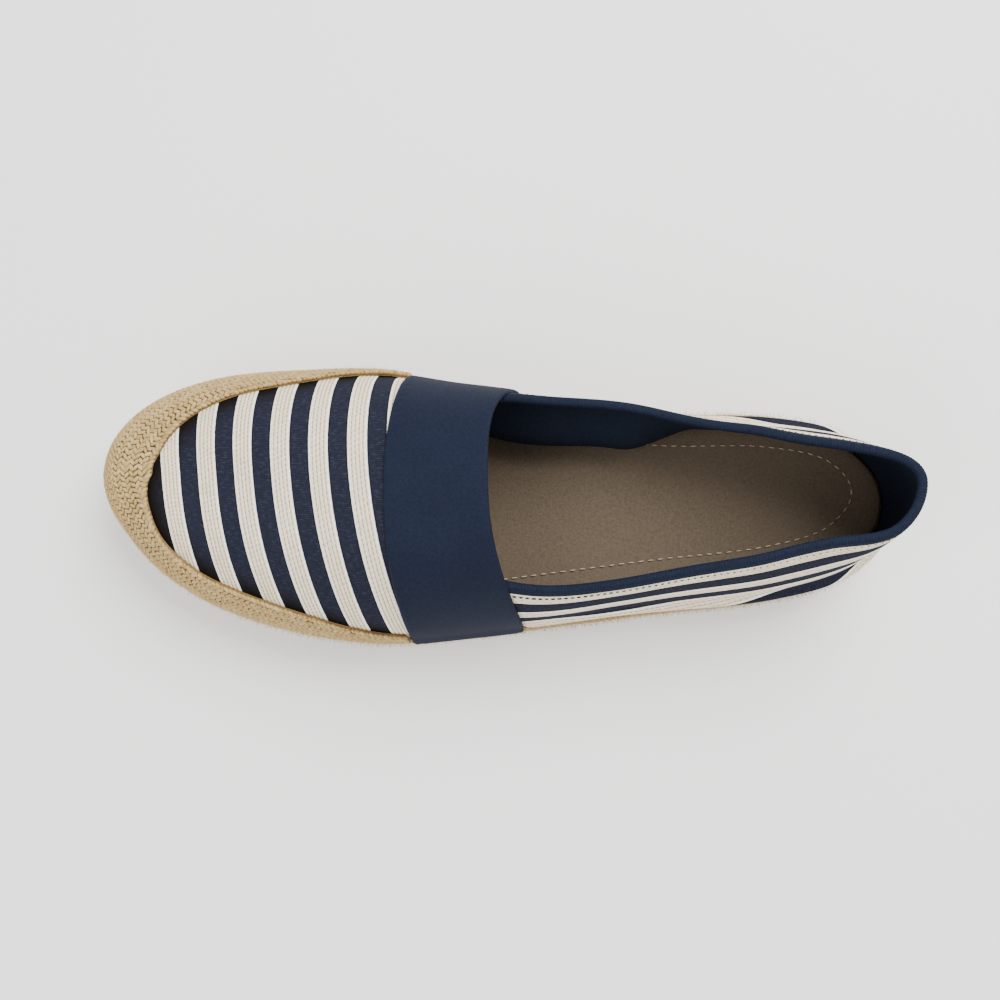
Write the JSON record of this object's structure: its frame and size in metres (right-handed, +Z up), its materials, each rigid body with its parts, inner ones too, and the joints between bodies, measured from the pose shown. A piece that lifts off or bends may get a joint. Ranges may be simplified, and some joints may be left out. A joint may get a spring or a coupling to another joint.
{
  "type": "espadrille",
  "caption": "Left slip-on espadrille: braided jute sole on a thin rubber outsole, striped cloth upper, elastic band over the instep and a jute toe bumper.",
  "frame": {"origin": "on the floor under the middle of the shoe's length and width", "axes": "+X from heel to toe, +Y towards the outer side of the left foot, +Z up"},
  "size_m": [0.2523, 0.0891, 0.0717],
  "materials": {
    "rubber_outsole": "matt",
    "jute": "coarse braid",
    "insole_sock": "matt",
    "striped_cloth": "ribbed weave",
    "elastic": "fine weave"
  },
  "bodies": {
    "root": {"outsole": "rubber_outsole", "midsole": "jute", "insole": "insole_sock", "upper": "striped_cloth", "toe_bumper": "jute", "elastic_band": "elastic"}
  },
  "joints": []
}
